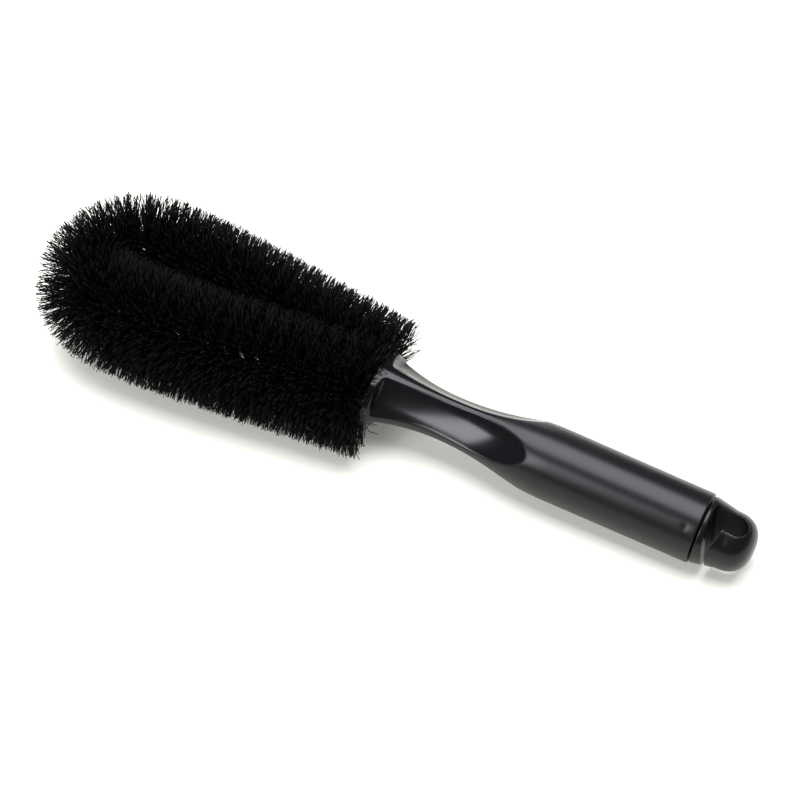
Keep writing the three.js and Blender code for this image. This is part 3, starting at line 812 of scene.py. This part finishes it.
dress(handle_shell(), grip_plastic, "brush", "handle_body")
dress(cap_shell(), cap_plastic, "cap", "hook_cap")
dress(wire("stem_wire_one", 0.0), steel, "brush", "stem_wire_a")
dress(wire("stem_wire_two", math.pi), steel, "brush", "stem_wire_b")
for node in ("stem_sleeve_far", "stem_sleeve_near"):
    covered(frame["nodes"][node], steel)

bundle_from = HEAD_START
for index, (node, length) in enumerate(bundles()):
    piece = filament_bundle(node.replace("bundle", "filaments"), index, bundle_from, bundle_from + length)
    dress(piece, nylon, "brush", node)
    bundle_from += length


# ---------------------------------------------------------------- floor, lights and camera

MIDDLE = placed([8.8, 0.0, 0.0])  # where the lights and the camera look


def floor(half):
    """A pale floor, a flat square with a little unevenness in its tone. half is half its side, in metres."""
    mesh = bpy.data.meshes.new("floor")
    corners = [(-half, -half, 0), (half, -half, 0), (half, half, 0), (-half, half, 0)]
    mesh.from_pydata(corners, [], [(0, 1, 2, 3)])
    paint = Paint("pale_floor")
    tone = paint.noise(scale=3.0, detail=2.0)
    pale = paint.finish(
        base_color=paint.mixed(tone, (0.69, 0.695, 0.61, 1), (0.71, 0.715, 0.63, 1)),
        emission_color=(1, 1, 0.93, 1),
        emission_strength=0.15,
        roughness=0.85,
    )
    covered(linked("floor", mesh), pale)


def soft_light(name, section_angle, along_angle, distance, width_angle, height_angle, radiance, roll=0):
    """A rectangular soft light that looks at the brush. Its direction is given by two angles in degrees:
    round the handle's axis, from +Y over the top, and towards the cap. Its size is given by the angles that
    it fills as the brush sees it, its width along the handle and its height across. It may be rolled about
    its own axis. Its power gives every part of it the stated radiance."""
    section, along = math.radians(section_angle), math.radians(along_angle)
    direction = math.sin(along) * AXIS_X
    direction += math.cos(along) * (math.cos(section) * AXIS_Y + math.sin(section) * AXIS_Z)
    lamp = bpy.data.lights.new(name, "AREA")
    lamp.shape = "RECTANGLE"
    lamp.size = 2 * distance * math.tan(math.radians(width_angle / 2))
    lamp.size_y = 2 * distance * math.tan(math.radians(height_angle / 2))
    lamp.energy = radiance * math.pi * lamp.size * lamp.size_y
    lamp.color = (0.985, 0.975, 1.04)
    back = Vector(direction)
    right = Vector(AXIS_X) - Vector(AXIS_X).dot(back) * back
    right.normalize()
    square = Matrix((right, back.cross(right), back)).transposed()
    rolled = square @ Matrix.Rotation(math.radians(roll), 3, "Z")
    linked(name, lamp).matrix_world = Matrix.Translation(Vector(MIDDLE) + back * distance) @ rolled.to_4x4()


def surroundings(colour, strength):
    """An even glow from all sides, where no lamp is."""
    world = bpy.data.worlds.new("studio")
    bpy.context.scene.world = world
    world.use_nodes = True
    background = world.node_tree.nodes["Background"]
    background.inputs["Color"].default_value = colour
    background.inputs["Strength"].default_value = strength


def camera(azimuth, elevation, distance, drop):
    """A camera that looks at the brush's middle from an azimuth and an elevation in degrees, and then stands
    lower by a drop, square to its view."""
    a, e = math.radians(azimuth), math.radians(elevation)
    back = Vector((math.sin(a) * math.cos(e), -math.cos(a) * math.cos(e), math.sin(e)))
    upright = Vector((-math.sin(a) * math.sin(e), math.cos(a) * math.sin(e), math.cos(e)))
    lens = bpy.data.cameras.new("camera")
    lens.lens, lens.sensor_width = 85.0, 36.0
    lens.clip_start, lens.clip_end = 0.01, 30.0
    shot = linked("camera", lens)
    shot.location = Vector(MIDDLE) - drop * upright + back * distance
    shot.rotation_euler = back.to_track_quat("Z", "Y").to_euler()
    bpy.context.scene.camera = shot


floor(half=4.0)
soft_light(
    "overhead",
    section_angle=80.5,
    along_angle=-6,
    distance=2.0,
    width_angle=54,
    height_angle=46,
    radiance=8.1,
)
soft_light(
    "front",
    section_angle=142,
    along_angle=-18,
    distance=2.5,
    width_angle=17,
    height_angle=30,
    radiance=12.5,
    roll=-20,
)
soft_light(
    "back",
    section_angle=11,
    along_angle=-27,
    distance=1.6,
    width_angle=31,
    height_angle=16,
    radiance=3.4,
)
surroundings(colour=(0.97, 0.97, 1.08, 1), strength=0.22)
bpy.context.scene.view_settings.view_transform = "Standard"
camera(azimuth=27.6, elevation=51.0, distance=0.6608, drop=0.00105)
